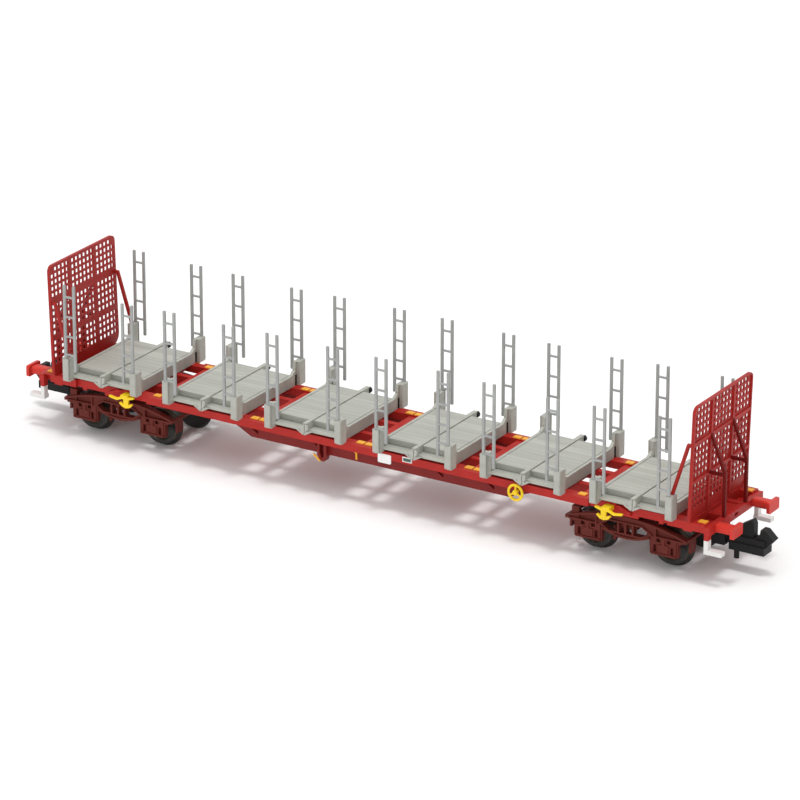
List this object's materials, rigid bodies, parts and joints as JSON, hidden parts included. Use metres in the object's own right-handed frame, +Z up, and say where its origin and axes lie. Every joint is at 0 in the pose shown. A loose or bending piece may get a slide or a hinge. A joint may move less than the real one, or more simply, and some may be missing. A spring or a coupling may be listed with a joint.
{
  "type": "model log carrier wagon",
  "caption": "Small-scale model of a bogie flat wagon for logs: red frame with stake pallets, ladders, perforated end walls, swivelling bogies and hook couplers.",
  "frame": {"origin": "on the floor under the wheel flanges, at the middle of the wagon", "axes": "+X along the wagon towards the right end of the picture, +Y across towards the far side, +Z up"},
  "size_m": [0.13, 0.0196, 0.0271],
  "materials": {
    "frame_red": "satin",
    "wall_red": "satin",
    "pallet_grey": "matte",
    "ladder_grey": "satin",
    "bogie_brown": "matte",
    "wheel_dark": "dark burnished",
    "coupler_black": "matte",
    "step_white": "satin",
    "control_yellow": "satin",
    "spigot_orange": "satin",
    "plate_white": "matte",
    "plate_green": "matte"
  },
  "bodies": {
    "wagon": {"buffers": "frame_red", "corner_steps": "step_white", "coupler_pocket_left": "coupler_black", "coupler_pocket_right": "coupler_black", "distributor_valves": "control_yellow", "end_wall_left": "wall_red", "end_wall_right": "wall_red", "fish_belly_far": "frame_red", "fish_belly_near": "frame_red", "handwheels": "control_yellow", "ladders_1": "ladder_grey", "ladders_2": "ladder_grey", "ladders_3": "ladder_grey", "ladders_4": "ladder_grey", "ladders_5": "ladder_grey", "ladders_6": "ladder_grey", "pallet_1": "pallet_grey", "pallet_2": "pallet_grey", "pallet_3": "pallet_grey", "pallet_4": "pallet_grey", "pallet_5": "pallet_grey", "pallet_6": "pallet_grey", "pivot_bosses": "frame_red", "pivot_pins": "frame_red", "plate_green": "plate_green", "plate_white": "plate_white", "release_levers": "spigot_orange", "spigot_pads": "spigot_orange", "step_hangers": "frame_red", "underframe": "frame_red", "wall_braces_left": "wall_red", "wall_braces_right": "wall_red", "wall_struts_left": "wall_red", "wall_struts_right": "wall_red"},
    "bogie_left": {"bogie_frame_left": "bogie_brown"},
    "bogie_right": {"bogie_frame_right": "bogie_brown"},
    "wheelset_1": {"wheelset_1": "wheel_dark"},
    "wheelset_2": {"wheelset_2": "wheel_dark"},
    "wheelset_3": {"wheelset_3": "wheel_dark"},
    "wheelset_4": {"wheelset_4": "wheel_dark"},
    "coupler_left": {"coupler_left": "coupler_black"},
    "coupler_right": {"coupler_right": "coupler_black"}
  },
  "joints": [
    {"name": "bogie_left_swivel", "type": "hinge", "parent": "wagon", "child": "bogie_left", "pos_m": [-0.0444, 0, 0.0069], "axis": [0, 0, 1], "range_deg": [-14, 14]},
    {"name": "bogie_right_swivel", "type": "hinge", "parent": "wagon", "child": "bogie_right", "pos_m": [0.0444, 0, 0.0069], "axis": [0, 0, 1], "range_deg": [-14, 14]},
    {"name": "wheelset_1_roll", "type": "hinge", "parent": "bogie_left", "child": "wheelset_1", "pos_m": [-0.05065, 0, 0.00345], "axis": [0, 1, 0], "continuous": true},
    {"name": "wheelset_2_roll", "type": "hinge", "parent": "bogie_left", "child": "wheelset_2", "pos_m": [-0.03815, 0, 0.00345], "axis": [0, 1, 0], "continuous": true},
    {"name": "wheelset_3_roll", "type": "hinge", "parent": "bogie_right", "child": "wheelset_3", "pos_m": [0.03815, 0, 0.00345], "axis": [0, 1, 0], "continuous": true},
    {"name": "wheelset_4_roll", "type": "hinge", "parent": "bogie_right", "child": "wheelset_4", "pos_m": [0.05065, 0, 0.00345], "axis": [0, 1, 0], "continuous": true},
    {"name": "coupler_left_swing", "type": "hinge", "parent": "wagon", "child": "coupler_left", "pos_m": [-0.0568, 0, 0.00465], "axis": [0, 0, 1], "range_deg": [-12, 12]},
    {"name": "coupler_right_swing", "type": "hinge", "parent": "wagon", "child": "coupler_right", "pos_m": [0.0568, 0, 0.00465], "axis": [0, 0, 1], "range_deg": [-12, 12]}
  ]
}
